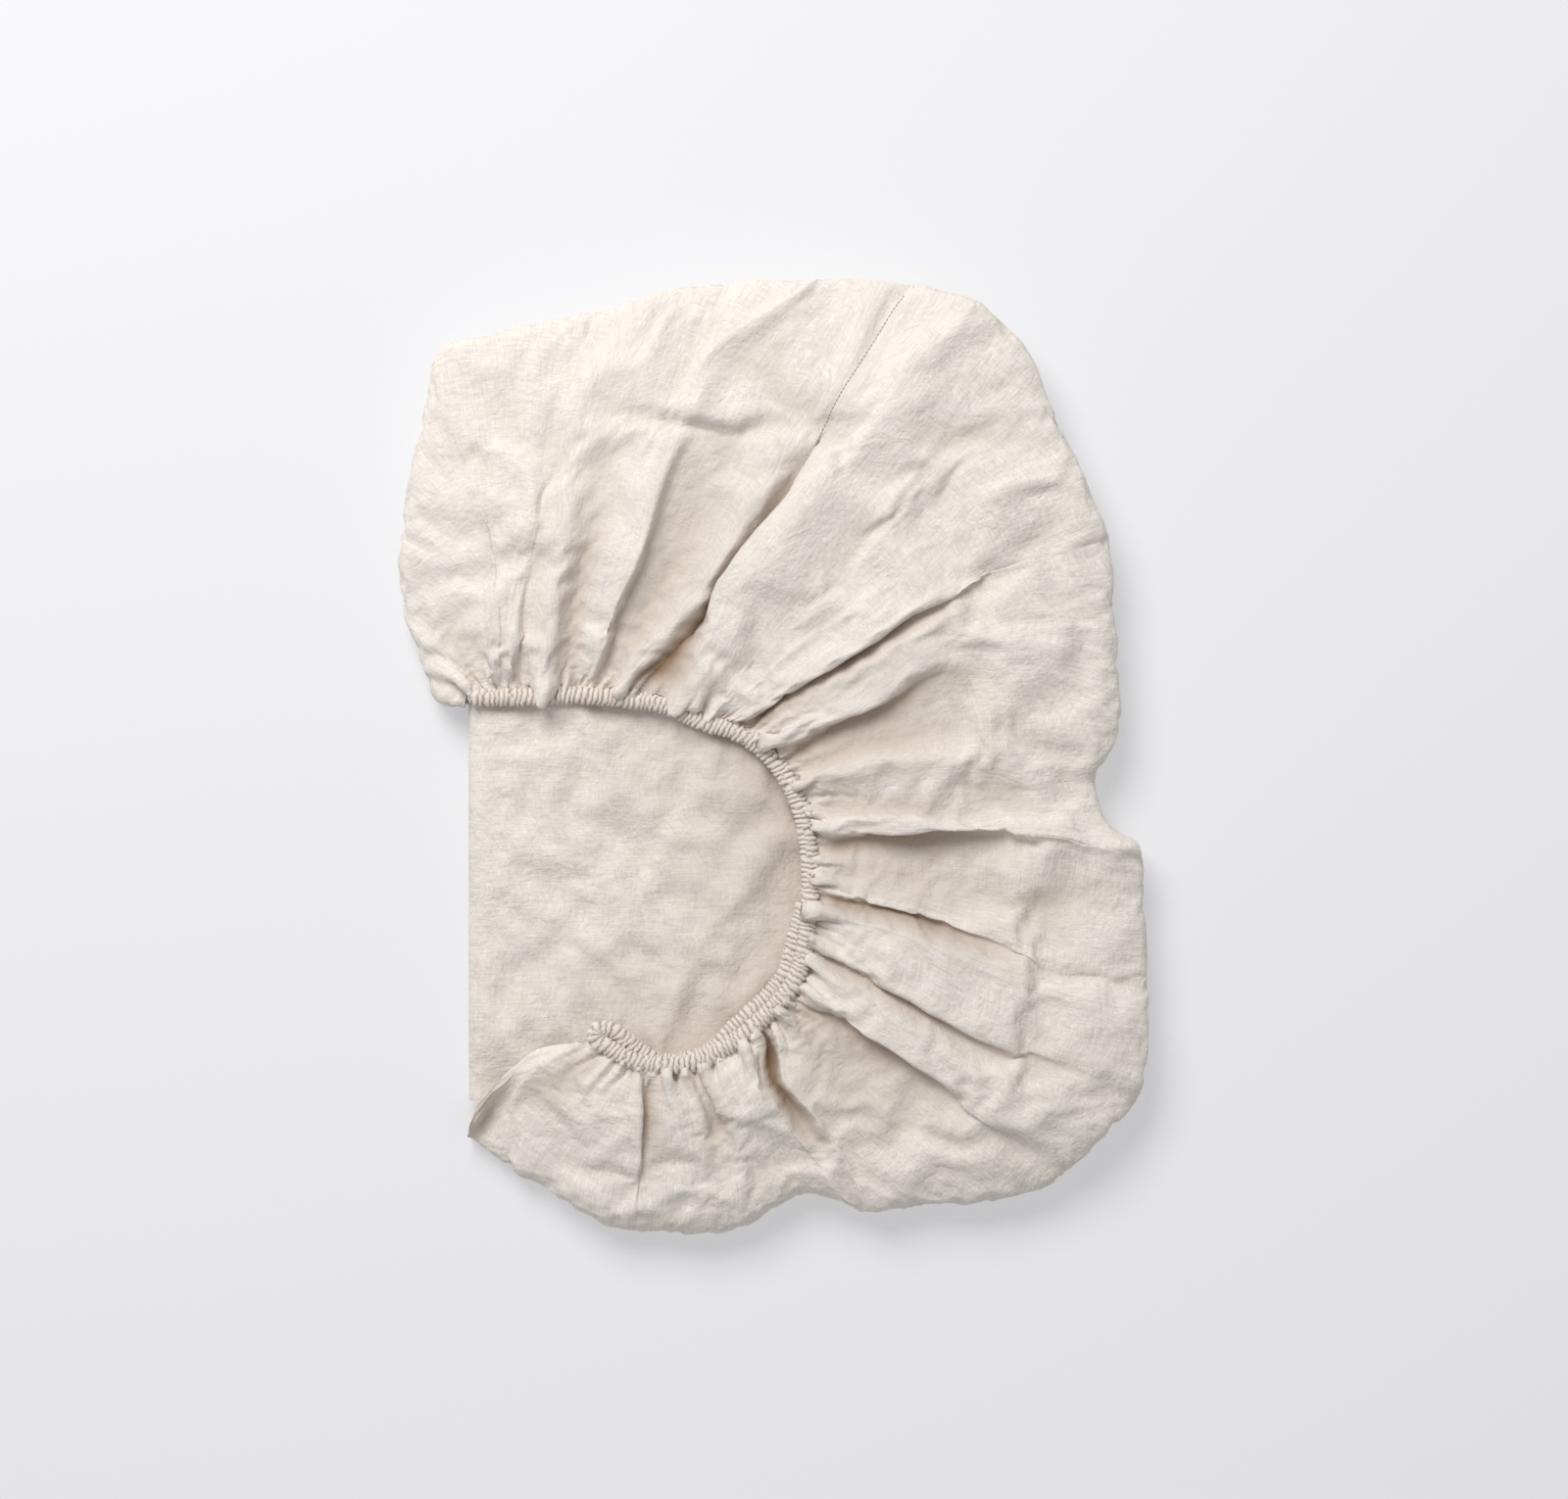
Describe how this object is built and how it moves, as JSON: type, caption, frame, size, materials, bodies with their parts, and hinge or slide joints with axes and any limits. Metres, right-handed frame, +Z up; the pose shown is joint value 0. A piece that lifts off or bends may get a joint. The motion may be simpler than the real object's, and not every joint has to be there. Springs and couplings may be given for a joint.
{
  "type": "crumpled fitted sheet",
  "caption": "Linen fitted bed sheet folded into a soft bundle, its gathered elastic corner pocket pulled over the folded stack",
  "frame": {"origin": "on the resting surface, under the middle of the bundle's box", "axes": "+X to the right as seen from above with the panel's wrapped edge at the left, +Y along the bundle's length away from its flap corner, +Z up"},
  "size_m": [0.4406, 0.562, 0.0552],
  "materials": {
    "natural_linen": "washed natural linen, plain weave with slubs",
    "ruched_casing": "the same linen, ruched tightly over elastic"
  },
  "bodies": {
    "root": {"linen_sheet": "natural_linen", "elastic_casing": "ruched_casing"}
  },
  "joints": []
}
